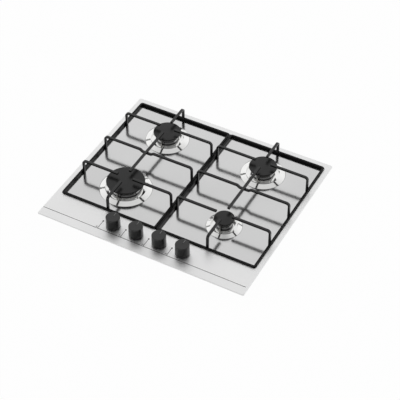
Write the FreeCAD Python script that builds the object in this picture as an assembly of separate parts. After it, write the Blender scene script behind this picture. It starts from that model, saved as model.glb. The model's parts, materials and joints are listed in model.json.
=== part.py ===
import FreeCAD, Part
import math
import os
from collections import namedtuple

# Built-in gas cooktop with four burners. Millimetres, +X right, +Y to the rear, +Z up.
# The origin is the centre of the base tray's underside.

# ---- plate ----
plate_width = 580.0          # steel plate, left to right
plate_depth = 510.0          # steel plate, front to rear
plate_corner = 4.0           # plan radius of the plate's corners
sheet = 0.8                  # plate sheet
rim_height = 3.0             # plate top above the worktop
rim_round = 1.2              # rounding of the plate's outer top edge
seal_gap = 0.4               # lip end above the worktop
box_depth = 40.0             # worktop surface down to the tray's underside
side_border = 13.7           # raised border left and right of the sunken field
rear_border = 16.5           # raised border behind the sunken field
control_band = 89.0          # raised band in front of the sunken field
recess_depth = 3.2           # sunken field below the plate top
recess_corner = 6.0          # plan radius of the field's corners
recess_round = 0.9           # rounding where the field meets its walls
dish_depth = 1.0             # shallow dish that each burner cup's skirt sits in
dish_gap = 0.5               # level floor beyond the skirt, before the dish rises
dish_slope = 1.0             # width of the dish's sloping edge

# ---- pan supports ----
side_gap = 1.3               # field wall to pan support, left and right
front_gap = 0.5              # field wall to pan support, front
rear_gap = 1.3               # field wall to pan support, rear
centre_gap = 2.0             # between the two pan supports
foot_height = 1.0            # rubber foot under the frame
foot_length = 14.0
foot_inset = 4.0             # foot beyond the frame's corner rounding
frame_height = 6.7
frame_width = 5.5
frame_corner = 7.0           # outer plan radius of the frame's corners
frame_round = 0.7            # rounding along its top edges
finger_width = 7.0
finger_thick = 5.2
finger_edge = 1.0            # rounding along the fingers
finger_top = 40.5            # finger top above the plate top
finger_bend = 7.5            # centre-line radius of the bends
tip_reach = 22.0             # finger tips to burner centre
jog_half = 19.5              # half length of the dip under the long finger
jog_slope = 7.0              # run of each slope of that dip
jog_bend = 4.0               # centre-line radius of its bends
rear_post_overlap = 2.8      # rear post stands this far over the frame bar

# ---- burners ----
burner_side_inset = 134.7    # burner centre to the field's side wall
burner_rear_inset = 93.6     # rear burner's centre to the field's rear wall
burner_front_inset = 96.1    # front burner's centre to the field's front wall
cup_rise = 6.4               # cup collar above the dish
cup_step = 4.0               # collar radius beyond the crown
cup_neck_step = 1.0          # cup's outer radius within the crown's
cup_taper = 0.8
skirt_edge = 1.2             # upright outer edge of the cup's skirt
skirt_rise = 6.0             # skirt's highest ring above the dish
skirt_wall = 1.8
brow_width = 1.0             # level top of that ring
gutter_floor = 0.9           # metal under the gutter between collar and skirt
cup_wall = 3.0
cup_floor = 3.0
cup_drop = 26.0              # cup bottom below the plate top
crown_flange = 1.2           # thickness of the crown's dark base ring
crown_flange_step = 1.5      # its radius beyond the crown
crown_height = 18.2          # crown body above its base ring
crown_flare = 2.0            # crown's upper edge beyond its foot
crown_wall = 5.0
crown_spigot = 6.0           # spigot depth inside the cup
spigot_wall = 1.5
slot_width = 1.6
slot_depth = 4.5
cap_thick = 4.2
cap_flare = 0.9              # the cap's underside rises this much to its rim
cap_edge = 1.3               # height of the cap's upright rim
cap_lap = 0.5                # flat seat beyond the crown's edge, before that rise
cap_round = 1.8
cap_dome = 0.5
cap_flat = 4.0               # radius of the flat in the middle of the dome
cap_pilot_depth = 2.5        # ring under the cap that centres it
cap_pilot_wall = 2.0
fit = 0.3                    # loose fit between lift-off pieces
hole_clearance = 0.6

# radii of cap and crown, outer and inner radius of the cup's sloping skirt, number of flame slots
Kind = namedtuple("Kind", "cap crown skirt brow slots")
RAPID = Kind(49.8, 40.5, 67.2, 53.7, 36)
SEMI_RAPID = Kind(36.6, 29.5, 57.7, 44.6, 28)
AUXILIARY = Kind(26.2, 20.8, 44.9, 34.8, 20)

spark_radius = 1.7           # ceramic
spark_pin_radius = 0.7
spark_rise = 12.0            # ceramic above the dish
spark_pin_rise = 2.6
spark_drop = 11.0            # ceramic below the dish
probe_radius = 1.5
probe_rise = 14.0
probe_drop = 14.0
probe_point = 3.0            # height of the probe's tapered tip
probe_tip_radius = 0.9
lug_radius = 4.4
lug_height = 4.0
lug_web = 4.0                # width of the web that carries the lug
lug_gap = 2.0                # lug below the lock ring
lock_ring_width = 2.2
lock_ring_height = 3.0
boss_radius = 6.5            # gas inlet boss of a cup
boss_length = 10.0
boss_wall = 1.5              # hub round the jet beyond the boss
jet_seat_rise = 2.0          # jet's seat above the cup's floor
jet_radius = 3.0
jet_depth = 4.0              # below its seat
jet_height = 6.0             # above its seat
jet_flange = 1.2
jet_flange_height = 2.0
jet_bore = 0.6

# ---- knobs and taps ----
knob_pitch = 65.2
knob_inset = 50.5            # knob centres to the plate's front edge
knob_top = 32.5              # knob top above the plate
knob_gap = 3.5               # knob skirt above the plate
knob_radius_top = 17.9
knob_radius_bottom = 18.5
knob_round = 1.4
knob_wall = 2.4
knob_roof = 6.0
hub_radius = 6.0
hub_bottom = 6.5             # hub above the plate
pointer_width = 1.4
pointer_depth = 0.5
push_travel = 3.0
spindle_radius = 3.0
spindle_top = 21.0           # spindle end above the plate
spindle_flat = 1.0           # depth of the flat in the knob
shaft_clearance = 0.05
tap_radius = 10.5
tap_clear = 3.2              # tap bottom above the tray sheet
plug_below = 5.0             # plug bottom below the gas line
plug_height = 13.0
port_radius = 1.5            # gas port in the plug
port_drop = 2.0              # its centre below the gas line
plug_radius_low = 5.0
plug_radius_high = 6.4
chamber_radius = 7.2
chamber_height = 8.8         # spring chamber above the plug
tap_cover = 2.4
collar_radius = 5.0
collar_height = 2.0
collar_play = 0.3
tongue_width = 4.0
tongue_thick = 2.4
tongue_depth = 3.0
magnet_radius = 5.5
magnet_reach = 26.0
stub_radius = 5.5
outlet_reach = 17.0
spring_wire = 0.6
spring_radius = 5.2
spring_turns = 4
seal_radius = 9.0
seal_rise = 1.2
seal_sleeve = 3.0            # wall of the sleeve through the plate
seal_lip = 1.0               # lip that snaps under the plate
seal_lip_height = 1.2
switch_width = 20.0
switch_depth = 16.0
switch_height = 4.5
switch_gap = 0.4             # switch ring round the spindle

# ---- gas line ----
gas_drop = 29.0              # centre of the gas line below the plate top
pipe_radius = 4.0
pipe_wall = 1.0
pipe_bend = 16.0
nut_radius = 6.8             # across the corners
nut_length = 8.0
manifold_size = 12.0
manifold_wall = 1.4
manifold_ahead = 16.9        # manifold's centre in front of the taps' centres
manifold_overhang = 20.2     # manifold's end beyond the first tap
manifold_side_inset = 43.0   # its right leg to the tray's side
manifold_rear_inset = 42.0   # its end to the tray's rear
saddle_length = 18.0
saddle_depth = 5.0
inlet_inset = 26.0           # inlet's centre to the tray's rear
inlet_radius = 10.48
inlet_thread = 12.0
inlet_shoulder = 0.5         # thread's upper end below the gas line
inlet_bore = 6.0
socket_wall = 2.0
socket_length = 10.0
socket_gap = 1.5             # end of the socket before the thread
inlet_collar = 1.2           # collar beyond the thread
inlet_hole_gap = 4.0         # tray hole round the thread

# ---- electrics ----
spark_box = (70.0, 35.0, 22.0)
spark_box_inset = 20.0       # box to the tray's rear
lead_z = 4.6
lead_radius = 1.3
lead_bend = 3.5
lead_aside = 14.0            # front leads step aside over the gas inlet boss
lead_over = 2.5              # clearance over that boss
lead_pitch = 16.0
lead_straight = 18.0         # straight run before the generator
lead_plug = 5.0              # lead inside the generator
probe_lead_z = 8.0
probe_lead_radius = 0.9
lead_lane = 8.0              # thermocouple leads pass this far beside the magnets
terminal_box = (46.0, 32.0, 22.0)
box_corner = 2.5             # upright edges of both boxes
terminal_inset = 46.0        # box's centre to the tray's side
gland_radius = 8.0
gland_bore = 3.2
gland_reach = 6.0

# ---- base tray and fixings ----
tray_side_inset = 22.0       # tray inside the plate's outline, left and right
tray_front_inset = 19.0
tray_rear_inset = 23.0
tray_sheet = 0.8
tray_corner = 5.0
tray_slope_over = 3.2        # the front wall leans in from this far above the gas line
tray_lean = 0.7965           # run of that lean for each millimetre of height
bracket_width = 16.0
bracket_drop = 17.0
bracket_foot = 12.0
bracket_screw_rise = 6.0     # screw above the bracket's lower end
bracket_sheet = 1.5
clamp_width = 14.0
clamp_reach = 8.0
clamp_arm = 16.0             # arm swung in alongside the tray
clamp_hook = 5.0             # upturned end that bears on the worktop
clamp_low = 6.0
clamp_top = 28.0
screw_radius = 2.0
screw_length = 7.0
screw_head = 4.0
screw_head_height = 2.4
drive_width = 1.0            # cross slot in the screw heads
drive_reach = 2.6
drive_depth = 1.0
seal_outer_inset = 4.0
seal_inner_inset = 8.0
bracket_rows = (-120.0, 20.0, 180.0)
clamp_rows = (-60.0, 100.0)
vent_radius = 4.0
vent_x = 180.0               # middle of the six vents on each side
vent_y = 45.0
vent_step_x = 20.0
vent_step_y = 30.0

# ---- levels worked out from the sizes above ----
worktop_z = box_depth
top_z = worktop_z + rim_height
field_z = top_z - recess_depth
dish_z = field_z - dish_depth
band_under = top_z - sheet
field_under = field_z - sheet
dish_under = dish_z - sheet
field_front = -plate_depth / 2 + control_band
field_rear = plate_depth / 2 - rear_border
field_half = plate_width / 2 - side_border
frame_z = field_z + foot_height
frame_top = frame_z + frame_height
finger_z = top_z + finger_top - finger_thick / 2
collar_top = dish_z + cup_rise
crown_top = collar_top + crown_flange + crown_height
support_front = field_front + front_gap
support_rear = field_rear - rear_gap
support_outer = field_half - side_gap
support_inner = centre_gap / 2
burner_x = field_half - burner_side_inset
rear_burner_y = field_rear - burner_rear_inset
front_burner_y = field_front + burner_front_inset
middle_y = (rear_burner_y + front_burner_y) / 2
tray_half_width = plate_width / 2 - tray_side_inset
tray_front = -plate_depth / 2 + tray_front_inset
tray_rear = plate_depth / 2 - tray_rear_inset
knob_y = -plate_depth / 2 + knob_inset
gas_z = top_z - gas_drop
tray_slope_height = gas_z + tray_slope_over
tray_slope_run = tray_lean * tray_slope_height
tap_bottom = tray_sheet + tap_clear
plug_bottom = gas_z - plug_below
plug_top = plug_bottom + plug_height
chamber_top = plug_top + chamber_height
manifold_y = knob_y - manifold_ahead
manifold_right_x = tray_half_width - manifold_side_inset
manifold_rear_y = tray_rear - manifold_rear_inset
inlet_y = tray_rear - inlet_inset
spark_box_y = tray_rear - spark_box_inset - spark_box[1] / 2
terminal_x = terminal_inset - tray_half_width

BURNERS = (
    ("rear_left", -burner_x, rear_burner_y, SEMI_RAPID),
    ("rear_right", burner_x, rear_burner_y, SEMI_RAPID),
    ("front_left", -burner_x, front_burner_y, RAPID),
    ("front_right", burner_x, front_burner_y, AUXILIARY),
)
KNOB_X = tuple(knob_pitch * (i - 1.5) for i in range(4))
manifold_left = KNOB_X[0] - manifold_overhang


def vec(x, y, z):
    return FreeCAD.Vector(x, y, z)


UP = vec(0, 0, 1)
RIGHT = vec(1, 0, 0)
BACK = vec(0, 1, 0)


def rod(x, y, z0, z1, radius):
    return Part.makeCylinder(radius, z1 - z0, vec(x, y, z0), UP)


def ring(x, y, z0, z1, inner, outer):
    return rod(x, y, z0, z1, outer).cut(rod(x, y, z0 - 1, z1 + 1, inner))


def block(x0, x1, y0, y1, z0, z1):
    return Part.makeBox(x1 - x0, y1 - y0, z1 - z0, vec(x0, y0, z0))


def edges_along(shape, direction):
    found = []
    for edge in shape.Edges:
        if len(edge.Vertexes) == 2 and isinstance(edge.Curve, Part.Line):
            way = edge.Vertexes[1].Point.sub(edge.Vertexes[0].Point)
            if abs(way.dot(direction)) > 0.999 * way.Length:
                found.append(edge)
    return found


def edges_at(shape, z):
    return [e for e in shape.Edges if all(abs(v.Z - z) < 1e-6 for v in e.Vertexes)]


def round_block(x0, x1, y0, y1, z0, z1, radius, edge_z=None, edge_radius=0.0):
    solid = block(x0, x1, y0, y1, z0, z1)
    solid = solid.makeFillet(radius, edges_along(solid, UP))
    if edge_z is not None:
        solid = solid.makeFillet(edge_radius, edges_at(solid, edge_z))
    return solid


def revolve(points, x=0.0, y=0.0):
    # points are (radius, z) round a closed outline
    outline = [vec(x + r, y, z) for r, z in points]
    outline.append(outline[0])
    face = Part.Face(Part.makePolygon(outline))
    return face.revolve(vec(x, y, 0), UP, 360)


def fuse_all(shapes):
    result = shapes[0]
    if len(shapes) > 1:
        result = result.fuse(shapes[1:])
    return result.removeSplitter()


def cut_all(shape, tools):
    return shape.cut(tools) if tools else shape


def save(name, shapes):
    shape = shapes if not isinstance(shapes, (list, tuple)) else Part.makeCompound(list(shapes))
    solids = shape.Solids
    if not solids or not all(s.isValid() and s.Volume > 0 for s in solids):
        raise ValueError("bad solid in " + name)
    result = solids[0] if len(solids) == 1 else Part.makeCompound(solids)
    result.exportStep("parts/" + name + ".step")
    print("%-28s %2d solid(s) %10.1f mm3" % (name, len(solids), sum(s.Volume for s in solids)))


def bent_wire(points, radius):
    # straight runs joined by tangent arcs
    pts = [vec(*p) for p in points]
    edges = []
    start = pts[0]
    for before, corner, after in zip(pts, pts[1:], pts[2:]):
        a = before.sub(corner).normalize()
        b = after.sub(corner).normalize()
        half = a.getAngle(b) / 2
        reach = radius / math.tan(half)
        first = corner.add(vec(*a).multiply(reach))
        last = corner.add(vec(*b).multiply(reach))
        middle_way = vec(*a.add(b)).normalize()
        middle = corner.add(middle_way.multiply(radius / math.sin(half) - radius))
        edges.append(Part.LineSegment(start, first).toShape())
        edges.append(Part.Arc(first, middle, last).toShape())
        start = last
    edges.append(Part.LineSegment(start, pts[-1]).toShape())
    return Part.Wire(edges)


def swept_round(points, radius, bend):
    way = vec(*points[1]).sub(vec(*points[0]))
    circle = Part.Wire([Part.Circle(vec(*points[0]), way, radius).toShape()])
    return bent_wire(points, bend).makePipeShell([circle], True, False)


def swept_bar(points, bend, across, width, thick, edge):
    # flat bar bent along points; across is the direction of its width
    start = vec(*points[0])
    way = vec(*points[1]).sub(start).normalize()
    other = across.cross(way)
    corners = []
    for s, t in ((1, 1), (-1, 1), (-1, -1), (1, -1)):
        sideways = vec(*across).multiply(s * width / 2)
        corners.append(start.add(sideways).add(vec(*other).multiply(t * thick / 2)))
    corners.append(corners[0])
    profile = rounded_profile(corners, edge)
    return bent_wire(points, bend).makePipeShell([profile], True, False)


def rounded_profile(corners, radius):
    # four straight sides, each with a rounded corner after it
    edges = []
    for i in range(4):
        a = corners[i]
        b = corners[i + 1]
        c = corners[(i + 2) % 4]
        ab = b.sub(a).normalize()
        bc = c.sub(b).normalize()
        start = a.add(vec(*ab).multiply(radius))
        bend = b.sub(vec(*ab).multiply(radius))
        leave = b.add(vec(*bc).multiply(radius))
        centre = bend.add(vec(*bc).multiply(radius))
        out = vec(*ab).sub(bc).normalize()
        edges.append(Part.LineSegment(start, bend).toShape())
        edges.append(Part.Arc(bend, centre.add(out.multiply(radius)), leave).toShape())
    return Part.Wire(edges)


# ---- the plate, its seal and its tray ----
def side_place(cx, cy, reach, degrees):
    angle = math.radians(degrees)
    return cx + reach * math.cos(angle), cy + reach * math.sin(angle)


def spark_reach(kind):
    return kind.crown + crown_flange_step + fit + spark_radius


def neck_radius(kind):
    return kind.crown - cup_neck_step


SPARK_SIDE = -90
PROBE_SIDE = 135


def make_plate():
    hw = plate_width / 2
    hd = plate_depth / 2
    lip_z = worktop_z + seal_gap
    outer = round_block(-hw, hw, -hd, hd, lip_z, top_z, plate_corner, top_z, rim_round)
    inner = round_block(-hw + sheet, hw - sheet, -hd + sheet, hd - sheet, lip_z - 5, band_under,
                        plate_corner - sheet, band_under, max(rim_round - sheet, 0.2))
    shell = outer.cut(inner)
    pan = round_block(-field_half - sheet, field_half + sheet, field_front - sheet, field_rear + sheet,
                      field_under, band_under + sheet / 2, recess_corner + sheet)
    sunk = round_block(-field_half, field_half, field_front, field_rear, field_z, top_z + 5,
                       recess_corner, field_z, recess_round)
    extra = [pan]
    cuts = [sunk]
    for _, x, y, kind in BURNERS:
        low = kind.skirt + dish_gap
        lower = Part.makeCone(low, low + dish_slope, dish_depth, vec(x, y, dish_under), UP)
        upper = Part.makeCone(low, low + dish_slope, dish_depth, vec(x, y, dish_z), UP)
        extra.append(lower)
        cuts.append(upper)
        cuts.append(rod(x, y, dish_under - 1, field_z, neck_radius(kind) + hole_clearance))
        for side, radius in ((SPARK_SIDE, spark_radius), (PROBE_SIDE, probe_radius)):
            px, py = side_place(x, y, spark_reach(kind), side)
            cuts.append(rod(px, py, dish_under - 1, field_z, radius + hole_clearance))
    for x in KNOB_X:
        cuts.append(rod(x, knob_y, band_under - 1, top_z + 1, spindle_radius + seal_sleeve))
    plate = shell.fuse(extra)
    return cut_all(plate, cuts).removeSplitter()


def bracket(side, y):
    # tab spot-welded under the plate that takes a tray screw
    x_out = tray_half_width - tray_sheet
    x_in = x_out - bracket_sheet
    half = bracket_width / 2
    leg = block(x_in, x_out, y - half, y + half, field_under - bracket_drop, field_under)
    foot = block(x_out - bracket_foot, x_out, y - half, y + half, field_under - bracket_sheet, field_under)
    hole = Part.makeCylinder(screw_radius, 2 * bracket_foot, vec(x_out - bracket_foot, y, screw_z()), RIGHT)
    tab = leg.fuse(foot).cut(hole)
    return tab if side > 0 else tab.mirror(vec(0, 0, 0), RIGHT)


def screw_z():
    return field_under - bracket_drop + bracket_screw_rise


def make_seal():
    hw = plate_width / 2
    hd = plate_depth / 2
    a = seal_outer_inset
    b = seal_inner_inset
    outer = round_block(-hw + a, hw - a, -hd + a, hd - a, worktop_z, band_under, plate_corner)
    inner = round_block(-hw + b, hw - b, -hd + b, hd - b, worktop_z - 1, band_under + 1, plate_corner)
    return outer.cut(inner)


def make_tray():
    w = tray_half_width
    s = tray_sheet
    outer = round_block(-w, w, tray_front, tray_rear, 0, band_under, tray_corner)
    inner = round_block(-w + s, w - s, tray_front + s, tray_rear - s, s, band_under + 1, tray_corner - s)
    inner = inner.cut(front_wedge(s * math.hypot(tray_lean, 1.0)))
    step = block(-w - 1, w + 1, field_front - sheet, tray_rear + 1, field_under, band_under + 1)
    tray = outer.cut([front_wedge(0.0), inner, step])
    cuts = [rod(manifold_right_x, inlet_y, -1, s + 1, inlet_radius + inlet_hole_gap)]
    cuts.append(Part.makeCylinder(gland_radius, 10, vec(terminal_x, tray_rear - 5, terminal_gland_z()), BACK))
    for x, y in vent_places():
        cuts.append(rod(x, y, -1, s + 1, vent_radius))
    for side in (-1, 1):
        for y in bracket_rows + clamp_rows:
            start = vec(side * (w - 5), y, screw_z())
            cuts.append(Part.makeCylinder(screw_radius, 10, start, vec(side, 0, 0)))
    return tray.cut(cuts)


def front_wedge(shift):
    # what the leaning front wall leaves out, moved to the rear by shift
    low_y = tray_front + tray_slope_run + shift
    outline = [(low_y + tray_lean, -1.0), (tray_front + shift, tray_slope_height)]
    outline += [(tray_front - 5.0, tray_slope_height), (tray_front - 5.0, -1.0)]
    points = [vec(-tray_half_width - 5, y, z) for y, z in outline]
    points.append(points[0])
    return Part.Face(Part.makePolygon(points)).extrude(vec(2 * tray_half_width + 10, 0, 0))


def terminal_gland_z():
    return tray_sheet + terminal_box[2] / 2


def vent_places():
    places = []
    for side in (-1, 1):
        for column in (-1, 0, 1):
            for row in (-0.5, 0.5):
                places.append((side * vent_x + column * vent_step_x, vent_y + row * vent_step_y))
    return places


def make_screws():
    screws = []
    for side in (-1, 1):
        seats = [(y, tray_half_width) for y in bracket_rows]
        seats += [(y, tray_half_width + bracket_sheet) for y in clamp_rows]
        for y, seat in seats:
            way = vec(side, 0, 0)
            z = screw_z()
            tip = vec(side * (seat - screw_length), y, z)
            shank = Part.makeCylinder(screw_radius, screw_length, tip, way)
            head = Part.makeCylinder(screw_head, screw_head_height, vec(side * seat, y, z), way)
            end = side * (seat + screw_head_height)
            low = end - drive_depth
            high = end + drive_depth
            half = drive_width / 2
            upright = block(low, high, y - half, y + half, z - drive_reach, z + drive_reach)
            level = block(low, high, y - drive_reach, y + drive_reach, z - half, z + half)
            screws.append(shank.fuse(head).cut([upright, level]))
    return screws


def make_clamps():
    clamps = []
    half = clamp_width / 2
    w = tray_half_width
    for y in clamp_rows:
        leg = block(w, w + bracket_sheet, y - half, y + half, clamp_low, clamp_top)
        arm_end = y + half + clamp_arm
        toe = block(w, w + clamp_reach, y - half, arm_end, clamp_low, clamp_low + bracket_sheet)
        hook = block(w, w + clamp_reach, arm_end - bracket_sheet, arm_end, clamp_low, clamp_low + clamp_hook)
        hole = Part.makeCylinder(screw_radius, 10, vec(w - 2, y, screw_z()), RIGHT)
        clamp = fuse_all([leg, toe, hook]).cut(hole)
        clamps.append(clamp)
        clamps.append(clamp.mirror(vec(0, 0, 0), RIGHT))
    return clamps


# ---- burners ----
def inlet_way(x, y):
    # direction in which a cup's gas inlet points
    if y < middle_y:
        return vec(0, -1, 0)
    return vec(-1 if x > 0 else 1, 0, 0)


def boss_end(x, y, kind):
    way = inlet_way(x, y)
    reach = neck_radius(kind) + boss_length
    return x + way.x * reach, y + way.y * reach


def make_cup(x, y, kind):
    crown = kind.crown
    neck = neck_radius(kind)
    low = top_z - cup_drop
    bore = neck - cup_wall
    collar = crown + cup_step
    brow = kind.brow
    gutter = brow - brow_width
    hollow = gutter + skirt_wall
    floor_z = dish_z + gutter_floor
    edge_z = dish_z + skirt_edge
    brow_z = dish_z + skirt_rise
    shell = revolve([
        (bore, low + cup_floor), (0, low + cup_floor), (0, low), (neck, low), (neck, dish_z),
        (hollow, dish_z), (hollow, brow_z - skirt_wall), (kind.skirt - skirt_wall, dish_z),
        (kind.skirt, dish_z), (kind.skirt, edge_z), (brow, brow_z), (gutter, brow_z), (gutter, floor_z),
        (collar, floor_z), (collar - cup_taper, collar_top), (bore, collar_top),
    ], x, y)
    way = inlet_way(x, y)
    boss = Part.makeCylinder(boss_radius, neck + boss_length, vec(x, y, gas_z), way)
    hub = boss_radius + boss_wall
    seat = low + cup_floor + jet_seat_rise
    centre = rod(x, y, gas_z - boss_radius, seat, hub)
    lugs = []
    holes = []
    for side, radius in ((SPARK_SIDE, spark_radius), (PROBE_SIDE, probe_radius)):
        px, py = side_place(x, y, spark_reach(kind), side)
        ix, iy = side_place(x, y, bore + 1.0, side)
        lug_top = dish_under - lock_ring_height - lug_gap
        lugs.append(rod(px, py, lug_top - lug_height, lug_top, lug_radius))
        web = block(0, spark_reach(kind) - bore - 1.0, -lug_web / 2, lug_web / 2, 0, lug_height)
        web.rotate(vec(0, 0, 0), UP, side)
        web.translate(vec(ix, iy, lug_top - lug_height))
        lugs.append(web)
        holes.append(rod(px, py, low - 5, collar_top + 5, radius))
    cup = shell.fuse([boss, centre] + lugs)
    inside = rod(x, y, low + cup_floor, collar_top + 5, bore)
    jet_hole = rod(x, y, gas_z, seat + 1, jet_radius)
    gas_hole = Part.makeCylinder(pipe_radius - pipe_wall, neck + boss_length + 1, vec(x, y, gas_z), way)
    well = ring(x, y, low + cup_floor, seat + 0.5, hub, bore)
    return cup.cut(holes + [jet_hole, gas_hole, well.common(inside)])


def make_lock_ring(x, y, kind):
    neck = neck_radius(kind)
    return ring(x, y, dish_under - lock_ring_height, dish_under, neck, neck + lock_ring_width)


def make_jet(x, y):
    low = top_z - cup_drop
    seat = low + cup_floor + jet_seat_rise
    body = rod(x, y, seat - jet_depth, seat + jet_height, jet_radius)
    flange = rod(x, y, seat, seat + jet_flange_height, jet_radius + jet_flange)
    bore = rod(x, y, seat - jet_depth - 1, seat + jet_height + 1, jet_bore)
    return body.fuse(flange).cut(bore).removeSplitter()


def make_crown(x, y, kind):
    crown = kind.crown
    bore = neck_radius(kind) - cup_wall
    spigot = bore - fit
    z0 = collar_top
    z1 = z0 + crown_flange
    z2 = crown_top
    inner = crown - crown_wall
    body = revolve([
        (spigot - spigot_wall, z0 - crown_spigot), (spigot, z0 - crown_spigot), (spigot, z0),
        (crown + crown_flange_step, z0), (crown + crown_flange_step, z1), (crown, z1),
        (crown + crown_flare, z2), (inner, z2), (inner, z1 + 2.0), (spigot - spigot_wall, z1 - 1.0),
    ], x, y)
    slots = []
    for i in range(round(kind.slots)):
        reach = crown + crown_flare + 1.0
        slot = block(inner - 1.0, reach, -slot_width / 2, slot_width / 2, z2 - slot_depth, z2 + 1.0)
        slot.rotate(vec(0, 0, 0), UP, 360.0 * (i + 0.5) / kind.slots)
        slot.translate(vec(x, y, 0))
        slots.append(slot)
    return body.cut(slots)


def make_cap(x, y, kind):
    radius = kind.cap
    crown = kind.crown
    inner = crown - crown_wall - fit
    z0 = crown_top
    z1 = z0 + cap_flare
    z2 = z1 + cap_edge
    z3 = z0 + cap_thick - cap_dome
    pilot = inner - cap_pilot_wall
    pilot_z = z0 - cap_pilot_depth
    side = [
        vec(0, 0, z0), vec(pilot, 0, z0), vec(pilot, 0, pilot_z), vec(inner, 0, pilot_z), vec(inner, 0, z0),
        vec(crown + crown_flare + cap_lap, 0, z0), vec(radius, 0, z1), vec(radius, 0, z2),
    ]
    edges = [Part.LineSegment(a, b).toShape() for a, b in zip(side, side[1:])]
    shoulder = vec(radius - cap_round, 0, z3)
    turn = vec(radius - cap_round * 0.25, 0, z2 + (z3 - z2) * 0.72)
    edges.append(Part.Arc(side[-1], turn, shoulder).toShape())
    rise = vec(radius * 0.5, 0, z3 + cap_dome * 0.76)
    crest = vec(cap_flat, 0, z3 + cap_dome)
    centre = vec(0, 0, z3 + cap_dome)
    edges.append(Part.Arc(shoulder, rise, crest).toShape())
    edges.append(Part.LineSegment(crest, centre).toShape())
    edges.append(Part.LineSegment(centre, side[0]).toShape())
    cap = Part.Face(Part.Wire(edges)).revolve(vec(0, 0, 0), UP, 360)
    cap.translate(vec(x, y, 0))
    return cap


def make_spark_ceramic(x, y, kind):
    px, py = side_place(x, y, spark_reach(kind), SPARK_SIDE)
    body = rod(px, py, dish_z - spark_drop, dish_z + spark_rise, spark_radius)
    return body.cut(rod(px, py, dish_z - spark_drop - 1, dish_z + spark_rise + 1, spark_pin_radius))


def make_spark_pin(x, y, kind):
    px, py = side_place(x, y, spark_reach(kind), SPARK_SIDE)
    return rod(px, py, dish_z - spark_drop, dish_z + spark_rise + spark_pin_rise, spark_pin_radius)


def make_probe(x, y, kind):
    px, py = side_place(x, y, spark_reach(kind), PROBE_SIDE)
    low = dish_z - probe_drop
    tip = dish_z + probe_rise
    return revolve([
        (0, low), (probe_radius, low), (probe_radius, tip - probe_point), (probe_tip_radius, tip), (0, tip),
    ], px, py)


# ---- taps and knobs ----
def make_tap_body(x):
    cover_z = chamber_top + tap_cover
    body = rod(x, knob_y, tap_bottom, cover_z, tap_radius)
    centre = vec(x, knob_y, gas_z)
    forward = vec(0, -1, 0)
    inlet = Part.makeCylinder(stub_radius, manifold_ahead - manifold_size / 2, centre, forward)
    outlet = Part.makeCylinder(stub_radius, outlet_reach, centre, BACK)
    magnet = Part.makeCylinder(magnet_radius, magnet_reach, vec(x, knob_y, probe_lead_z), vec(-1, 0, 0))
    body = body.fuse([inlet, outlet, magnet]).removeSplitter()
    c = shaft_clearance
    seat = Part.makeCone(plug_radius_low + c, plug_radius_high + c, plug_height + c,
                         vec(x, knob_y, plug_bottom - c), UP)
    chamber = rod(x, knob_y, plug_top, chamber_top, chamber_radius)
    neck = rod(x, knob_y, chamber_top - 1, cover_z + 1, spindle_radius + c)
    bore = pipe_radius - pipe_wall
    way_in = Part.makeCylinder(bore, manifold_ahead, centre, forward)
    way_out = Part.makeCylinder(bore, outlet_reach + 1, centre, BACK)
    return body.cut([seat, chamber, neck, way_in, way_out])


def make_tap_plug(x):
    plug = Part.makeCone(plug_radius_low, plug_radius_high, plug_height, vec(x, knob_y, plug_bottom), UP)
    low = spindle_foot() - push_travel - 1.0
    half_w = tongue_width / 2 + shaft_clearance
    half_t = tongue_thick / 2 + shaft_clearance
    slot = block(x - half_w, x + half_w, knob_y - half_t, knob_y + half_t, low, plug_top + 1)
    port = Part.makeCylinder(port_radius, plug_radius_high + 1, vec(x, knob_y, gas_z - port_drop), BACK)
    return plug.cut([slot, port])


def spindle_foot():
    return plug_top - tongue_depth


def beside_flat(x, z0, z1):
    # the space behind the flat that keys a spindle to its knob
    y0 = knob_y + spindle_radius - spindle_flat
    return block(x - hub_radius, x + hub_radius, y0, knob_y + hub_radius, z0, z1)


def make_tap_spindle(x):
    top = top_z + spindle_top
    collar_low = chamber_top - collar_play - collar_height
    shaft = rod(x, knob_y, collar_low, top, spindle_radius)
    collar = rod(x, knob_y, collar_low, collar_low + collar_height, collar_radius)
    half_w = tongue_width / 2
    half_t = tongue_thick / 2
    tongue = block(x - half_w, x + half_w, knob_y - half_t, knob_y + half_t, spindle_foot(), collar_low)
    flat = beside_flat(x, top_z + hub_bottom, top + 1)
    return shaft.fuse([collar, tongue]).cut(flat).removeSplitter()


def make_spring(x):
    # one unbroken coil between the plug and the spindle's collar
    low = plug_top + spring_wire
    high = chamber_top - collar_play - collar_height - spring_wire
    rise = (high - low) / spring_turns
    steps = 4
    edges = []
    for i in range(round(spring_turns * steps)):
        points = []
        for k in (0, 1, 2):
            turn = (i + k / 2.0) / steps
            angle = 2 * math.pi * turn
            points.append(vec(x + spring_mean() * math.cos(angle), knob_y + spring_mean() * math.sin(angle),
                              low + rise * turn))
        edges.append(Part.Arc(*points).toShape())
    start = vec(x + spring_mean(), knob_y, low)
    way = vec(0, 1, rise / (2 * math.pi * spring_mean()))
    circle = Part.Wire([Part.Circle(start, way, spring_wire / 2).toShape()])
    return Part.Wire(edges).makePipeShell([circle], True, False)


def spring_mean():
    return spring_radius - spring_wire / 2


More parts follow.
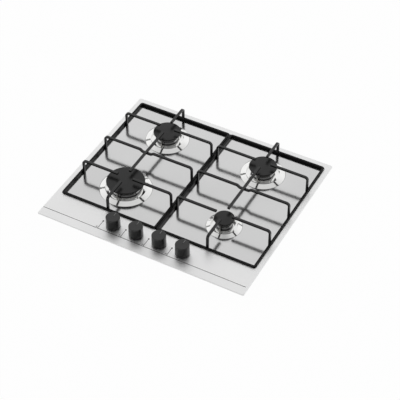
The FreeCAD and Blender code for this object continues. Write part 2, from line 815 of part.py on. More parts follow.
def make_knob(x):
    z0 = top_z + knob_gap
    z1 = top_z + knob_top
    body = Part.makeCone(knob_radius_bottom, knob_radius_top, z1 - z0, vec(x, knob_y, z0), UP)
    body = body.makeFillet(knob_round, [e for e in edges_at(body, z1) if e.Length > knob_radius_top])
    hollow = Part.makeCone(knob_radius_bottom - knob_wall, knob_radius_top - knob_wall, z1 - z0 - knob_roof,
                           vec(x, knob_y, z0), UP)
    hub = rod(x, knob_y, top_z + hub_bottom, z1 - knob_roof + 1, hub_radius)
    hole = rod(x, knob_y, top_z + hub_bottom - 1, top_z + spindle_top, spindle_radius)
    key = beside_flat(x, top_z + hub_bottom - 2, top_z + spindle_top + 1)
    groove = block(x - pointer_width / 2, x + pointer_width / 2, knob_y + 1.0, knob_y + knob_radius_top + 1,
                   z1 - pointer_depth, z1 + 1)
    return body.cut(hollow).fuse(hub).cut([hole.cut(key), groove]).removeSplitter()


def make_spindle_seal(x):
    flange = rod(x, knob_y, top_z, top_z + seal_rise, seal_radius)
    low = band_under - seal_lip_height
    sleeve = rod(x, knob_y, low, top_z, spindle_radius + seal_sleeve)
    under = rod(x, knob_y, low, band_under, spindle_radius + seal_sleeve + seal_lip)
    bore = rod(x, knob_y, band_under - 3, top_z + seal_rise + 1, spindle_radius + shaft_clearance)
    return fuse_all([flange, sleeve, under]).cut(bore)


def make_switch(x):
    z0 = chamber_top + tap_cover
    half_w = switch_width / 2
    half_d = switch_depth / 2
    body = block(x - half_w, x + half_w, knob_y - half_d, knob_y + half_d, z0, z0 + switch_height)
    return body.cut(rod(x, knob_y, z0 - 1, z0 + switch_height + 1, spindle_radius + switch_gap))


# ---- gas line ----
def square_tube(x0, x1, y0, y1):
    half = manifold_size / 2
    return block(x0, x1, y0, y1, gas_z - half, gas_z + half)


def make_manifold():
    half = manifold_size / 2
    right = manifold_right_x + half
    outer = [
        square_tube(manifold_left, right, manifold_y - half, manifold_y + half),
        square_tube(manifold_right_x - half, right, manifold_y - half, manifold_rear_y),
    ]
    for x, y in ((KNOB_X[0] + knob_pitch / 2, manifold_y), (KNOB_X[2] + knob_pitch / 2, manifold_y),
                 (manifold_right_x, middle_y)):
        if y == manifold_y:
            size = (x - saddle_length / 2, x + saddle_length / 2, y + half - saddle_depth, y + half)
        else:
            size = (x - half, x + half, y - saddle_length / 2, y + saddle_length / 2)
        outer.append(block(*size, tray_sheet, gas_z - half))
    w = manifold_wall
    inner = [
        block(manifold_left + w, right - w, manifold_y - half + w, manifold_y + half - w,
              gas_z - half + w, gas_z + half - w),
        block(manifold_right_x - half + w, right - w, manifold_y - half + w, manifold_rear_y + 1,
              gas_z - half + w, gas_z + half - w),
    ]
    for x in KNOB_X:
        inner.append(Part.makeCylinder(pipe_radius - pipe_wall, half + 1, vec(x, manifold_y, gas_z), BACK))
    return fuse_all(outer).cut(inner)


def make_inlet():
    # socket over the manifold's end, then a turn down to the threaded end
    x = manifold_right_x
    half = manifold_size / 2
    shoulder = gas_z - inlet_shoulder
    low = shoulder - inlet_thread
    high = gas_z + half + socket_wall
    outer = half + socket_wall
    grip_y = manifold_rear_y - socket_length
    socket = block(x - outer, x + outer, grip_y, inlet_y - inlet_radius - socket_gap, gas_z - outer, high)
    bridge = block(x - outer, x + outer, manifold_rear_y, inlet_y, shoulder, high)
    collar = rod(x, inlet_y, shoulder, high, inlet_radius + inlet_collar)
    thread = rod(x, inlet_y, low, shoulder, inlet_radius)
    grip = block(x - half, x + half, grip_y - 1, manifold_rear_y, gas_z - half, gas_z + half)
    ceiling = gas_z + half - manifold_wall
    side = half - socket_wall
    passage = block(x - side, x + side, manifold_rear_y - 1, inlet_y, shoulder + socket_wall, ceiling)
    bore = rod(x, inlet_y, low - 1, ceiling, inlet_bore)
    return fuse_all([socket, bridge, collar, thread]).cut([grip, passage, bore])


def pipe_route(index):
    # tap outlet to the burner's inlet boss, all at one height
    pair = ("front_left", "rear_left", "rear_right", "front_right")[index]
    x, y, kind = [b[1:] for b in BURNERS if b[0] == pair][0]
    start = (KNOB_X[index], knob_y + outlet_reach, gas_z)
    bx, by = boss_end(x, y, kind)
    if y < middle_y:
        middle = (start[1] + by) / 2
        slant = pipe_bend * 0.9
        return [start, (start[0], middle - slant, gas_z), (bx, middle + slant, gas_z), (bx, by, gas_z)]
    return [start, (start[0], y, gas_z), (bx, by, gas_z)]


def make_pipe(index):
    route = pipe_route(index)
    outer = swept_round(route, pipe_radius, pipe_bend)
    inner = swept_round(route, pipe_radius - pipe_wall, pipe_bend)
    return outer.cut(inner)


def hexagon(centre, way, radius, length):
    side = UP.cross(way)
    points = []
    for i in range(7):
        angle = math.radians(60 * i)
        points.append(vec(*centre).add(vec(*side).multiply(radius * math.cos(angle)))
                      .add(vec(0, 0, radius * math.sin(angle))))
    return Part.Face(Part.makePolygon(points)).extrude(vec(*way).multiply(length))


def make_nuts():
    nuts = []
    for index in range(4):
        route = pipe_route(index)
        for end, near in ((route[0], route[1]), (route[-1], route[-2])):
            way = vec(*near).sub(vec(*end)).normalize()
            nut = hexagon(end, way, nut_radius, nut_length)
            nuts.append(nut.cut(Part.makeCylinder(pipe_radius, nut_length + 2, vec(*end).sub(vec(*way)), way)))
    return nuts


# ---- electrics ----
def make_spark_box():
    w, d, h = spark_box
    z0 = tray_sheet
    body = round_block(-w / 2, w / 2, spark_box_y - d / 2, spark_box_y + d / 2, z0, z0 + h, box_corner)
    holes = []
    for i in range(4):
        x = lead_pitch * (i - 1.5)
        mouth = vec(x, spark_box_y - d / 2 - 1, lead_z)
        holes.append(Part.makeCylinder(lead_radius, lead_plug + 1, mouth, BACK))
    return body.cut(holes)


def ignition_route(index):
    x, y, kind = (BURNERS[0], BURNERS[2], BURNERS[3], BURNERS[1])[index][1:]
    px, py = side_place(x, y, spark_reach(kind), SPARK_SIDE)
    gx = lead_pitch * (index - 1.5)
    face_y = spark_box_y - spark_box[1] / 2
    route = [(px, py, dish_z - spark_drop)]
    if y < middle_y:
        over = gas_z + boss_radius + lead_over
        px_aside = px - lead_aside if x > 0 else px + lead_aside
        route += [(px, py, over), (px_aside, py, over)]
        px = px_aside
    return route + [(px, py, lead_z), (gx, face_y - lead_straight, lead_z), (gx, face_y + lead_plug, lead_z)]


def probe_route(index):
    x = KNOB_X[index]
    tap_x = x - magnet_reach
    name = ("front_left", "rear_left", "rear_right", "front_right")[index]
    burner = [b for b in BURNERS if b[0] == name][0]
    px, py = side_place(burner[1], burner[2], spark_reach(burner[3]), PROBE_SIDE)
    z = probe_lead_z
    start = (px, py, dish_z - probe_drop)
    if index == 0:
        return [start, (px, py, z), (px, knob_y, z), (tap_x, knob_y, z)]
    lane = tap_x - lead_lane
    return [start, (px, py, z), (lane, py, z), (lane, knob_y, z), (tap_x, knob_y, z)]


def make_terminal_box():
    w, d, h = terminal_box
    y1 = tray_rear - tray_sheet
    x0 = terminal_x - w / 2
    body = round_block(x0, x0 + w, y1 - d, y1, tray_sheet, tray_sheet + h, box_corner)
    z = terminal_gland_z()
    gland = Part.makeCylinder(gland_radius, gland_reach + tray_sheet, vec(terminal_x, y1, z), BACK)
    bore = Part.makeCylinder(gland_bore, d / 2 + gland_reach, vec(terminal_x, y1 - d / 2, z), BACK)
    return body.fuse(gland).cut(bore).removeSplitter()


# ---- pan supports ----
def support_sides(side):
    # outer faces of the frame, left and right, of one pan support
    if side < 0:
        return -support_outer, -support_inner
    return support_inner, support_outer


def make_frame(side):
    x0, x1 = support_sides(side)
    w = frame_width
    outer = round_block(x0, x1, support_front, support_rear, frame_z, frame_top, frame_corner)
    inner = round_block(x0 + w, x1 - w, support_front + w, support_rear - w, frame_z - 1, frame_top + 1,
                        max(frame_corner - w, 1.0))
    frame = outer.cut(inner)
    return frame.makeFillet(frame_round, edges_at(frame, frame_top))


def make_cross_fingers(side):
    x0, x1 = support_sides(side)
    bx = side * burner_x
    half = finger_thick / 2
    left = x0 + frame_width + half
    right = x1 - frame_width - half
    bars = []
    for y in (rear_burner_y, front_burner_y):
        for post, tip in ((left, bx - tip_reach), (right, bx + tip_reach)):
            points = [(post, y, frame_z), (post, y, finger_z), (tip, y, finger_z)]
            bars.append(swept_bar(points, finger_bend, BACK, finger_width, finger_thick, finger_edge))
    bars.append(make_middle_bar(left, right, bx))
    return bars


def make_middle_bar(left, right, bx):
    y = middle_y
    dip = finger_z - finger_thick
    points = [
        (left, y, frame_z), (left, y, finger_z), (bx - jog_half, y, finger_z),
        (bx - jog_half + jog_slope, y, dip), (bx + jog_half - jog_slope, y, dip),
        (bx + jog_half, y, finger_z), (right, y, finger_z), (right, y, frame_z),
    ]
    start = vec(*points[0])
    half_w = finger_width / 2
    half_t = finger_thick / 2
    corners = []
    for s, t in ((1, 1), (-1, 1), (-1, -1), (1, -1)):
        corners.append(start.add(vec(half_t * t, half_w * s, 0)))
    corners.append(corners[0])
    profile = rounded_profile(corners, finger_edge)
    return jogged_wire(points).makePipeShell([profile], True, False)


def jogged_wire(points):
    # wide bends over the posts, tight bends in the dip
    outer_left = bent_wire(points[:3], finger_bend).Edges[:-1]
    outer_right = bent_wire(points[-3:], finger_bend).Edges[1:]
    start = outer_left[-1].Vertexes[-1].Point
    end = outer_right[0].Vertexes[0].Point
    middle = bent_wire([tuple(start)] + points[2:6] + [tuple(end)], jog_bend).Edges
    return Part.Wire(outer_left + middle + outer_right)


def make_long_fingers(side):
    bx = side * burner_x
    half = finger_thick / 2
    front_post = support_front + frame_width + half
    rear_post = support_rear - frame_width + rear_post_overlap - half
    front = [(bx, front_post, frame_z), (bx, front_post, finger_z), (bx, front_burner_y - tip_reach, finger_z)]
    rear = [(bx, rear_post, frame_top), (bx, rear_post, finger_z), (bx, rear_burner_y + tip_reach, finger_z)]
    bars = []
    for points in (front, rear):
        bars.append(swept_bar(points, finger_bend, RIGHT, finger_width, finger_thick, finger_edge))
    y0 = front_burner_y + tip_reach
    y1 = rear_burner_y - tip_reach
    bar = block(bx - finger_width / 2, bx + finger_width / 2, y0, y1, finger_z - half, finger_z + half)
    bars.append(bar.makeFillet(finger_edge, edges_along(bar, BACK)))
    return bars


def make_feet(side):
    x0, x1 = support_sides(side)
    w = frame_width
    feet = []
    for x in (x0, x1 - w):
        inset = frame_corner + foot_inset
        for y in (support_front + inset, support_rear - inset - foot_length):
            feet.append(block(x, x + w, y, y + foot_length, field_z, frame_z))
    return feet


# ---- write every piece ----
os.makedirs("parts", exist_ok=True)

save("hob_plate", make_plate())
save("worktop_seal", make_seal())
save("base_tray", make_tray())
save("m4_screws", make_screws())
save("worktop_clamps", make_clamps())

for name, x, y, kind in BURNERS:
    save("burner_cup_" + name, make_cup(x, y, kind))
    save("burner_crown_" + name, make_crown(x, y, kind))
    save("burner_cap_" + name, make_cap(x, y, kind))
brackets = [bracket(side, y) for side in (-1, 1) for y in bracket_rows]
save("plate_fixings", [make_lock_ring(x, y, kind) for _, x, y, kind in BURNERS] + brackets)
save("injector_jets", [make_jet(x, y) for _, x, y, kind in BURNERS])
save("spark_ceramics", [make_spark_ceramic(x, y, kind) for _, x, y, kind in BURNERS])
save("spark_pins", [make_spark_pin(x, y, kind) for _, x, y, kind in BURNERS])
save("thermocouples", [make_probe(x, y, kind) for _, x, y, kind in BURNERS])

for number, x in enumerate(KNOB_X, 1):
    save("tap_body_%d" % number, make_tap_body(x))
    save("tap_plug_%d" % number, make_tap_plug(x))
    save("tap_spring_%d" % number, make_spring(x))
    save("tap_spindle_%d" % number, make_tap_spindle(x))
    save("knob_%d" % number, make_knob(x))
save("spindle_seals", [make_spindle_seal(x) for x in KNOB_X])
save("ignition_switches", [make_switch(x) for x in KNOB_X])

save("gas_manifold", make_manifold())
save("inlet_elbow", make_inlet())
save("feed_pipes", [make_pipe(i) for i in range(4)])
save("pipe_nuts", make_nuts())
save("spark_generator", make_spark_box())
save("ignition_leads", [swept_round(ignition_route(i), lead_radius, lead_bend) for i in range(4)])
save("thermocouple_leads", [swept_round(probe_route(i), probe_lead_radius, lead_bend) for i in range(4)])
save("terminal_box", make_terminal_box())

for name, side in (("left", -1), ("right", 1)):
    save("support_frame_" + name, make_frame(side))
    save("cross_fingers_" + name, make_cross_fingers(side))
    save("long_fingers_" + name, make_long_fingers(side))
    save("support_feet_" + name, make_feet(side))
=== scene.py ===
import json
import math

import bmesh
import bpy
from mathutils import Matrix, Vector


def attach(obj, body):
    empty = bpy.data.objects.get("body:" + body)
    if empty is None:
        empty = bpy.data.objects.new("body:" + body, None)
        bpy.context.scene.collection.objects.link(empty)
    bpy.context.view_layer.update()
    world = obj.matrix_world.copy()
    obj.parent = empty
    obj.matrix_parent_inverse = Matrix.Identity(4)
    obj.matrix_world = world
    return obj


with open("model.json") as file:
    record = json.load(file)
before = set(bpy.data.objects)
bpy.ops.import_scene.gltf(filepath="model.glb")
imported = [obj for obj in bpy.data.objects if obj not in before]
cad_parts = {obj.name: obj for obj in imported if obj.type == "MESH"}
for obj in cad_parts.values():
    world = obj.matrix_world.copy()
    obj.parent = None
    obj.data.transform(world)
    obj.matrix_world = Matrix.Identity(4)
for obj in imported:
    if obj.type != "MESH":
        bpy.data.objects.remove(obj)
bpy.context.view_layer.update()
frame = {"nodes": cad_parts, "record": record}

NODES = frame["nodes"]
MM = 0.001

# ---- places repeated from the solids, in millimetres ----
PLATE_TOP = 43.0
FIELD_Z = 39.8
KNOB_X = [65.2 * (i - 1.5) for i in range(4)]
KNOB_Y = -204.5
KNOB_TOP = PLATE_TOP + 32.5
KNOB_R = 17.9
PRINT_RISE = 0.03        # thickness of a printed mark
RING_TOP = 46.4          # top of the crowns' near-black base band, painted shade for the gap above the cup
RING_BLUR = 0.1          # half the height over which the painted shade band turns to bare metal
STEP_MARGIN = 0.6        # the plate's steel changes roughness and its painted shade between these margins of its step
POINTER_FROM = 5.0       # pointer on a knob, from the knob's centre
POINTER_EDGE = 1.4       # and short of the knob's rim
POINTER_WIDTH = 1.3
POINTER_DEPTH = 0.5      # its lower face under the knob's top
POINTER_SINK = 0.05      # its upper face under the knob's top


# ------------------------------------------------------------------ materials
def new_material(name):
    mat = bpy.data.materials.new(name)
    mat.use_nodes = True
    tree = mat.node_tree
    tree.nodes.clear()
    out = tree.nodes.new("ShaderNodeOutputMaterial")
    bsdf = tree.nodes.new("ShaderNodeBsdfPrincipled")
    tree.links.new(bsdf.outputs["BSDF"], out.inputs["Surface"])
    return mat, tree, bsdf


def object_coords(tree, scale):
    coord = tree.nodes.new("ShaderNodeTexCoord")
    mapping = tree.nodes.new("ShaderNodeMapping")
    mapping.inputs["Scale"].default_value = scale
    tree.links.new(coord.outputs["Object"], mapping.inputs["Vector"])
    return mapping.outputs["Vector"]


def noise(tree, vector, scale, detail=2.0, rough=0.5):
    node = tree.nodes.new("ShaderNodeTexNoise")
    node.inputs["Scale"].default_value = scale
    node.inputs["Detail"].default_value = detail
    node.inputs["Roughness"].default_value = rough
    tree.links.new(vector, node.inputs["Vector"])
    return node.outputs["Fac"]


def blend_colors(tree, factor, first, second, low=0.35, high=0.65):
    ramp = tree.nodes.new("ShaderNodeValToRGB")
    ramp.color_ramp.elements[0].position = low
    ramp.color_ramp.elements[1].position = high
    ramp.color_ramp.elements[0].color = (*first, 1.0)
    ramp.color_ramp.elements[1].color = (*second, 1.0)
    tree.links.new(factor, ramp.inputs["Fac"])
    return ramp.outputs["Color"]


def spread(tree, factor, low, high):
    node = tree.nodes.new("ShaderNodeMapRange")
    node.inputs["From Min"].default_value = 0.3
    node.inputs["From Max"].default_value = 0.7
    node.inputs["To Min"].default_value = low
    node.inputs["To Max"].default_value = high
    tree.links.new(factor, node.inputs["Value"])
    return node.outputs["Result"]


def bump(tree, height, bsdf, strength, distance):
    node = tree.nodes.new("ShaderNodeBump")
    node.inputs["Strength"].default_value = strength
    node.inputs["Distance"].default_value = distance
    tree.links.new(height, node.inputs["Height"])
    tree.links.new(node.outputs["Normal"], bsdf.inputs["Normal"])


def metal(name, dark, light, rough, stretch=(1, 1, 1), grain=400.0, tone=30.0, relief=0.05,
          depth=0.00005):
    """Metal with a slow change of tone and a fine grain, drawn out along an axis by stretch."""
    mat, tree, bsdf = new_material(name)
    bsdf.inputs["Metallic"].default_value = 1.0
    broad = noise(tree, object_coords(tree, (1, 1, 1)), tone, 3.0)
    fine = noise(tree, object_coords(tree, stretch), grain, 4.0, 0.6)
    tree.links.new(blend_colors(tree, broad, dark, light), bsdf.inputs["Base Color"])
    tree.links.new(spread(tree, fine, rough[0], rough[1]), bsdf.inputs["Roughness"])
    bump(tree, fine, bsdf, relief, depth)
    return mat


def height_mask(tree, low, high):
    """0 below a height in millimetres, 1 above another, from the object's own coordinates."""
    coord = tree.nodes.new("ShaderNodeTexCoord")
    parts = tree.nodes.new("ShaderNodeSeparateXYZ")
    ramp = tree.nodes.new("ShaderNodeMapRange")
    ramp.interpolation_type = "SMOOTHSTEP"
    ramp.inputs["From Min"].default_value = low * MM
    ramp.inputs["From Max"].default_value = high * MM
    tree.links.new(coord.outputs["Object"], parts.inputs["Vector"])
    tree.links.new(parts.outputs["Z"], ramp.inputs["Value"])
    return ramp.outputs["Result"]


def mix_colors(tree, factor, first, second):
    node = tree.nodes.new("ShaderNodeMix")
    node.data_type = "RGBA"
    tree.links.new(factor, node.inputs["Factor"])
    tree.links.new(first, node.inputs[6])
    tree.links.new(second, node.inputs[7])
    return node.outputs[2]


def mix_values(tree, factor, first, second):
    node = tree.nodes.new("ShaderNodeMix")
    node.data_type = "FLOAT"
    tree.links.new(factor, node.inputs[0])
    tree.links.new(first, node.inputs[2])
    tree.links.new(second, node.inputs[3])
    return node.outputs[0]


def plate_steel():
    """Brushed steel: the raised border and band are duller than the sunken field, whose darker steel tone is
    painted shade under the pan supports.
    """
    mat, tree, bsdf = new_material("brushed_stainless")
    bsdf.inputs["Metallic"].default_value = 1.0
    raised = height_mask(tree, FIELD_Z + STEP_MARGIN, PLATE_TOP - STEP_MARGIN)
    broad = noise(tree, object_coords(tree, (1, 1, 1)), 6.0, 3.0)
    fine = noise(tree, object_coords(tree, (0.02, 1, 1)), 1500.0, 4.0, 0.6)
    # the sunken field's darker tone is painted shade under the pan supports
    field = blend_colors(tree, broad, SHADED_FIELD_STEEL[0], SHADED_FIELD_STEEL[1])
    band = blend_colors(tree, broad, BAND_STEEL[0], BAND_STEEL[1])
    tree.links.new(mix_colors(tree, raised, field, band), bsdf.inputs["Base Color"])
    rough = mix_values(tree, raised, spread(tree, fine, *FIELD_ROUGH),
                       spread(tree, fine, *BAND_ROUGH))
    tree.links.new(rough, bsdf.inputs["Roughness"])
    bump(tree, fine, bsdf, 0.03, 0.00002)
    return mat


def crown_metal():
    """Polished crown whose dark grey metal is painted shade under the cap, with a near-black band at its base
    painted as the shadow gap above the cup.
    """
    mat, tree, bsdf = new_material("polished_crown")
    bsdf.inputs["Metallic"].default_value = 1.0
    body = height_mask(tree, RING_TOP - RING_BLUR, RING_TOP + RING_BLUR)
    broad = noise(tree, object_coords(tree, (1, 1, 1)), 30.0, 3.0)
    fine = noise(tree, object_coords(tree, (1, 1, 6)), 300.0, 4.0, 0.6)
    # near-black band at the base: painted shade for the gap between crown and cup
    ring = blend_colors(tree, broad, *SHADE_RING_TONE)
    # dark grey crown metal: painted shade under the cap
    shaded_metal_tone = blend_colors(tree, broad, *SHADED_CROWN_TONE)
    tree.links.new(mix_colors(tree, body, ring, shaded_metal_tone), bsdf.inputs["Base Color"])
    tree.links.new(spread(tree, fine, *CROWN_ROUGH), bsdf.inputs["Roughness"])
    bump(tree, fine, bsdf, 0.05, 0.00005)
    return mat


def coated(name, dark, light, rough, specular=0.5, grain=900.0, relief=0.1, depth=0.00005,
           coat=0.0):
    """Enamel, plastic or rubber: a mottled body colour under a fine surface grain."""
    mat, tree, bsdf = new_material(name)
    bsdf.inputs["Specular IOR Level"].default_value = specular
    bsdf.inputs["Coat Weight"].default_value = coat
    vector = object_coords(tree, (1, 1, 1))
    broad = noise(tree, vector, 60.0, 3.0)
    fine = noise(tree, vector, grain, 3.0, 0.6)
    tree.links.new(blend_colors(tree, broad, dark, light), bsdf.inputs["Base Color"])
    tree.links.new(spread(tree, fine, rough[0], rough[1]), bsdf.inputs["Roughness"])
    bump(tree, fine, bsdf, relief, depth)
    return mat


def grey(value, tint=0.0):
    return (value, value, value * (1.0 - tint))


# painted shade: the sunken field's steel is darker than the band's
SHADED_FIELD_STEEL = (grey(0.64), grey(0.67))
BAND_STEEL = (grey(0.87), grey(0.90))
FIELD_ROUGH = (0.13, 0.17)
BAND_ROUGH = (0.40, 0.48)
# painted shade: near-black band at the crown's base, then dark grey crown metal under the cap
SHADE_RING_TONE = (grey(0.008), grey(0.014))
SHADED_CROWN_TONE = (grey(0.30), grey(0.40))
CROWN_ROUGH = (0.10, 0.20)

MATERIALS = {
    "stainless": plate_steel(),
    "zinc_sheet": metal("zinc_coated_sheet", (0.44, 0.45, 0.46), (0.58, 0.59, 0.60), (0.32, 0.48),
                        grain=160.0, tone=90.0),
    "zinc_tube": metal("zinc_coated_tube", (0.40, 0.41, 0.42), (0.52, 0.53, 0.54), (0.34, 0.50), grain=220.0),
    "screw_steel": metal("bright_screw", (0.55, 0.55, 0.54), (0.66, 0.66, 0.64), (0.18, 0.30)),
    "pin_steel": metal("bright_pin", (0.50, 0.49, 0.47), (0.62, 0.61, 0.59), (0.15, 0.28)),
    "spring_steel": metal("spring_wire", (0.45, 0.45, 0.45), (0.55, 0.55, 0.55), (0.2, 0.3)),
    "spindle_steel": metal("turned_spindle", (0.50, 0.50, 0.49), (0.60, 0.60, 0.58), (0.2, 0.34),
                           stretch=(1, 1, 0.1)),
    "brass": metal("turned_brass", (0.62, 0.44, 0.17), (0.74, 0.55, 0.25), (0.22, 0.38)),
    "copper": metal("drawn_copper", (0.60, 0.31, 0.19), (0.72, 0.40, 0.26), (0.24, 0.40)),
    "cast_aluminium": metal("polished_casting", (0.85, 0.85, 0.84), (0.90, 0.90, 0.89), (0.08, 0.14),
                            grain=300.0, relief=0.04),
    "crown_aluminium": crown_metal(),
    "tap_aluminium": metal("cast_tap", (0.48, 0.48, 0.49), (0.62, 0.62, 0.63), (0.3, 0.45), relief=0.2),
    "aluminium_tube": metal("drawn_aluminium", (0.58, 0.58, 0.58), (0.70, 0.70, 0.70), (0.2, 0.34)),
    "black_enamel": coated("matt_black_enamel", grey(0.003), grey(0.006), (0.26, 0.36), specular=0.4),
    # painted shade: a darker, less shiny copy of the support enamel for the frame bars
    "support_enamel_shaded_copy": coated("support_enamel_shaded_copy", grey(0.002), grey(0.003), (0.20, 0.28), specular=0.2),
    "support_enamel": coated("support_enamel", grey(0.002), grey(0.004), (0.16, 0.24), specular=0.5),
    "knob_plastic": coated("knob_plastic", grey(0.002), grey(0.004), (0.14, 0.20), specular=0.6),
    "inner_plastic": coated("moulded_plastic", grey(0.03), grey(0.05), (0.4, 0.55)),
    "seal_rubber": coated("black_rubber", grey(0.012), grey(0.02), (0.6, 0.75), specular=0.3, relief=0.2),
    "lead_silicone": coated("silicone_sleeve", (0.55, 0.55, 0.52), (0.64, 0.64, 0.60), (0.45, 0.6)),
    "ceramic": coated("glazed_ceramic", (0.72, 0.71, 0.66), (0.82, 0.81, 0.77), (0.12, 0.24), coat=0.3),
}


def dress_nodes():
    for part in frame["record"]["subparts"]:
        name = part["node"]
        node = NODES[name]
        # the frame bars take a darker copy of the support enamel as painted shade
        slot = "support_enamel_shaded_copy" if name.startswith("support_frame") else part["material_slot"]
        mat = MATERIALS[slot]
        node.data.materials.clear()
        node.data.materials.append(mat)


# ------------------------------------------------------------------ pieces
def piece(name, build, mat, body):
    mesh = bpy.data.meshes.new(name)
    bm = bmesh.new()
    build(bm)
    bmesh.ops.recalc_face_normals(bm, faces=bm.faces)
    bm.to_mesh(mesh)
    bm.free()
    mesh.materials.append(mat)
    obj = bpy.data.objects.new(name, mesh)
    bpy.context.scene.collection.objects.link(obj)
    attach(obj, body)
    return obj


def add_prism(bm, outline, z0, z1):
    """Upright prism over a flat outline of (x, y) in millimetres."""
    low = [bm.verts.new((x * MM, y * MM, z0 * MM)) for x, y in outline]
    high = [bm.verts.new((x * MM, y * MM, z1 * MM)) for x, y in outline]
    bm.faces.new(high)
    bm.faces.new(list(reversed(low)))
    count = len(outline)
    for i in range(count):
        j = (i + 1) % count
        bm.faces.new((low[i], low[j], high[j], high[i]))


def stroke(x0, y0, x1, y1, width):
    """Outline of a straight stroke."""
    dx, dy = x1 - x0, y1 - y0
    length = math.hypot(dx, dy)
    nx, ny = -dy / length * width / 2, dx / length * width / 2
    return [(x0 + nx, y0 + ny), (x0 - nx, y0 - ny), (x1 - nx, y1 - ny), (x1 + nx, y1 + ny)]


def disc(x, y, radius, count):
    """Outline of a round dot."""
    return [(x + radius * math.cos(2 * math.pi * i / count),
             y + radius * math.sin(2 * math.pi * i / count)) for i in range(count)]


LINE_Y = -229.0
LINE_FROM = -288.0
LINE_TO = 283.0
LINE_WIDTH = 1.5
TICK_SIDE = -31.0        # tick beside each knob, from the knob's centre
TICK_TOP = -201.0
TICK_WIDTH = 1.3
TICK_DOT = 2.2
SYMBOL_SIDE = -4.5       # burner symbol beside the tick
SYMBOL_PITCH = 2.6
SYMBOL_DOT = 0.75
SYMBOL_RISE = 5.0        # middle of the symbol above the line
SYMBOL_MARKED = 1.7      # how much larger the dot of the knob's own burner is
DISC_SIDES = 24
SYMBOL_SIDES = 12
# burner of each knob in the symbol: column and row of the larger dot
SYMBOL_PLACE = [(0, 0), (0, 1), (1, 1), (1, 0)]


def build_prints(bm):
    z0, z1 = PLATE_TOP, PLATE_TOP + PRINT_RISE
    add_prism(bm, stroke(LINE_FROM, LINE_Y, LINE_TO, LINE_Y, LINE_WIDTH), z0, z1)
    for x, place in zip(KNOB_X, SYMBOL_PLACE):
        tick = x + TICK_SIDE
        add_prism(bm, stroke(tick, LINE_Y + LINE_WIDTH / 2, tick, TICK_TOP, TICK_WIDTH), z0, z1)
        add_prism(bm, disc(tick, TICK_TOP, TICK_DOT, DISC_SIDES), z0, z1)
        for column in (0, 1):
            for row in (0, 1):
                size = SYMBOL_DOT * (SYMBOL_MARKED if (column, row) == place else 1.0)
                cx = tick + SYMBOL_SIDE + (column - 0.5) * SYMBOL_PITCH
                cy = LINE_Y + SYMBOL_RISE + (row - 0.5) * SYMBOL_PITCH
                add_prism(bm, disc(cx, cy, size, SYMBOL_SIDES), z0, z1)


def build_pointer(x):
    def build(bm):
        outline = stroke(x, KNOB_Y + POINTER_FROM, x, KNOB_Y + KNOB_R - POINTER_EDGE, POINTER_WIDTH)
        add_prism(bm, outline, KNOB_TOP - POINTER_DEPTH, KNOB_TOP - POINTER_SINK)
    return build


def build_pieces():
    ink = coated("printed_ink", grey(0.004), grey(0.010), (0.5, 0.6), specular=0.2)
    pointer = coated("pointer_paint", grey(0.22), grey(0.30), (0.4, 0.5))
    piece("band_print", build_prints, ink, "cooktop")
    for number, x in enumerate(KNOB_X, 1):
        piece("knob_pointer_%d" % number, build_pointer(x), pointer, "knob_%d_body" % number)


# ------------------------------------------------------------------ studio
FLOOR_SIZE = 8.0
FLOOR_GLOW = 0.98        # share of plain white in the floor that the camera sees
WORLD_LIGHT = 0.55       # world strength for diffuse light; what is seen or mirrored is 1
DIM_SIDE = (0.477, -0.879, 0.0)    # the darker side of the room, behind the camera
DIM_SHARE = 0.70         # how much darker the room is there
CEILING_SPAN = (0.55, 1.0)         # height at which the room starts to grey, and at which it stops
CEILING_SHARE = 0.30
SIDE_SPAN = (0.0, 0.25)            # how far towards the darker side the room starts and stops to dim
HORIZON_SPAN = (0.25, 0.40)        # height over which the dimming sets in


def seen_factor(tree):
    """1 for camera, glossy and transmission rays, 0 for the light that falls on things."""
    path = tree.nodes.new("ShaderNodeLightPath")
    first = tree.nodes.new("ShaderNodeMath")
    first.operation = "MAXIMUM"
    second = tree.nodes.new("ShaderNodeMath")
    second.operation = "MAXIMUM"
    tree.links.new(path.outputs["Is Camera Ray"], first.inputs[0])
    tree.links.new(path.outputs["Is Glossy Ray"], first.inputs[1])
    tree.links.new(first.outputs[0], second.inputs[0])
    tree.links.new(path.outputs["Is Transmission Ray"], second.inputs[1])
    return second.outputs[0]


def ramp_value(tree, value, low, high):
    node = tree.nodes.new("ShaderNodeMapRange")
    node.interpolation_type = "SMOOTHSTEP"
    node.inputs["From Min"].default_value = low
    node.inputs["From Max"].default_value = high
    tree.links.new(value, node.inputs["Value"])
    return node.outputs["Result"]


def multiply(tree, first, second):
    node = tree.nodes.new("ShaderNodeMath")
    node.operation = "MULTIPLY"
    tree.links.new(first, node.inputs[0])
    tree.links.new(second, node.inputs[1])
    return node.outputs[0]


def darkened(tree, value, share):
    """1 where the value is 0, less by the share where it is 1."""
    node = tree.nodes.new("ShaderNodeMapRange")
    node.inputs["To Min"].default_value = 1.0
    node.inputs["To Max"].default_value = 1.0 - share
    tree.links.new(value, node.inputs["Value"])
    return node.outputs["Result"]


def room_color(tree):
    """A white room with one side darker above the horizon, under a greyer ceiling."""
    coord = tree.nodes.new("ShaderNodeTexCoord")
    side = tree.nodes.new("ShaderNodeVectorMath")
    side.operation = "DOT_PRODUCT"
    side.inputs[1].default_value = DIM_SIDE
    parts = tree.nodes.new("ShaderNodeSeparateXYZ")
    both = multiply(tree, ramp_value(tree, side.outputs["Value"], *SIDE_SPAN),
                    ramp_value(tree, parts.outputs["Z"], *HORIZON_SPAN))
    tree.links.new(coord.outputs["Generated"], side.inputs[0])
    tree.links.new(coord.outputs["Generated"], parts.inputs["Vector"])
    ceiling = ramp_value(tree, parts.outputs["Z"], *CEILING_SPAN)
    return multiply(tree, darkened(tree, both, DIM_SHARE),
                    darkened(tree, ceiling, CEILING_SHARE))


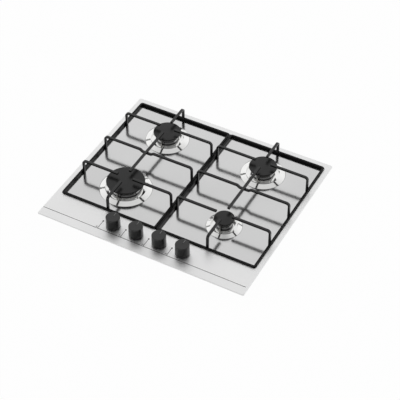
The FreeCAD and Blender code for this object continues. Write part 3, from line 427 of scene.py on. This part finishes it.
def build_world():
    world = bpy.data.worlds.new("studio")
    bpy.context.scene.world = world
    world.use_nodes = True
    tree = world.node_tree
    tree.nodes.clear()
    out = tree.nodes.new("ShaderNodeOutputWorld")
    background = tree.nodes.new("ShaderNodeBackground")
    strength = tree.nodes.new("ShaderNodeMapRange")
    strength.inputs["To Min"].default_value = WORLD_LIGHT
    strength.inputs["To Max"].default_value = 1.0
    tree.links.new(seen_factor(tree), strength.inputs["Value"])
    tree.links.new(strength.outputs["Result"], background.inputs["Strength"])
    tree.links.new(room_color(tree), background.inputs["Color"])
    tree.links.new(background.outputs["Background"], out.inputs["Surface"])


def build_floor():
    half = FLOOR_SIZE / 2
    mesh = bpy.data.meshes.new("studio_floor")
    corners = [(-half, -half, 0), (half, -half, 0), (half, half, 0), (-half, half, 0)]
    mesh.from_pydata(corners, [], [(0, 1, 2, 3)])
    mat, tree, bsdf = new_material("pale_floor")
    bsdf.inputs["Base Color"].default_value = (0.9, 0.9, 0.9, 1)
    bsdf.inputs["Roughness"].default_value = 0.9
    bsdf.inputs["Specular IOR Level"].default_value = 0.1
    glow = tree.nodes.new("ShaderNodeEmission")
    glow.inputs["Color"].default_value = (1, 1, 1, 1)
    glow.inputs["Strength"].default_value = 1.0
    share = tree.nodes.new("ShaderNodeMath")
    share.operation = "MULTIPLY"
    share.inputs[1].default_value = FLOOR_GLOW
    tree.links.new(seen_factor(tree), share.inputs[0])
    mix = tree.nodes.new("ShaderNodeMixShader")
    tree.links.new(share.outputs[0], mix.inputs["Fac"])
    tree.links.new(bsdf.outputs["BSDF"], mix.inputs[1])
    tree.links.new(glow.outputs["Emission"], mix.inputs[2])
    out = [n for n in tree.nodes if n.bl_idname == "ShaderNodeOutputMaterial"][0]
    tree.links.new(mix.outputs["Shader"], out.inputs["Surface"])
    mesh.materials.append(mat)
    floor = bpy.data.objects.new("studio_floor", mesh)
    bpy.context.scene.collection.objects.link(floor)


def area_light(name, place, aim, size, power):
    data = bpy.data.lights.new(name, "AREA")
    data.shape = "RECTANGLE"
    data.size, data.size_y = size
    data.energy = power
    lamp = bpy.data.objects.new(name, data)
    lamp.location = place
    lamp.rotation_euler = (Vector(aim) - Vector(place)).to_track_quat("-Z", "Y").to_euler()
    lamp.visible_glossy = False      # metal mirrors the room, not the lamp
    bpy.context.scene.collection.objects.link(lamp)


LAMP_PLACE = (-0.2, 0.4, 2.2)
LAMP_AIM = (-0.2, 0.4, 0)           # straight below it
LAMP_SIZE = (2.6, 2.6)
LAMP_WATTS = 12.0


def build_lights():
    area_light("ceiling_soft", LAMP_PLACE, LAMP_AIM, LAMP_SIZE, LAMP_WATTS)


# camera fitted to the plate's corners
CAM_AZIMUTH = 28.48176
CAM_ELEVATION = 44.20962
CAM_PLACE = (1.15656, -2.06631, 2.26396 + PLATE_TOP * MM)
SENSOR = 36.0
LENS = 115.556


def build_camera():
    a = math.radians(CAM_AZIMUTH)
    e = math.radians(CAM_ELEVATION)
    back = Vector((math.sin(a) * math.cos(e), -math.cos(a) * math.cos(e), math.sin(e)))
    right = Vector((math.cos(a), math.sin(a), 0))
    up = back.cross(right)
    data = bpy.data.cameras.new("camera")
    data.sensor_width = SENSOR
    data.lens = LENS
    camera = bpy.data.objects.new("camera", data)
    turn = Matrix((right, up, back)).transposed().to_4x4()
    camera.matrix_world = Matrix.Translation(CAM_PLACE) @ turn
    bpy.context.scene.collection.objects.link(camera)
    bpy.context.scene.camera = camera


def main():
    dress_nodes()
    build_pieces()
    build_world()
    build_floor()
    build_lights()
    build_camera()
    bpy.context.scene.view_settings.view_transform = "Standard"


main()
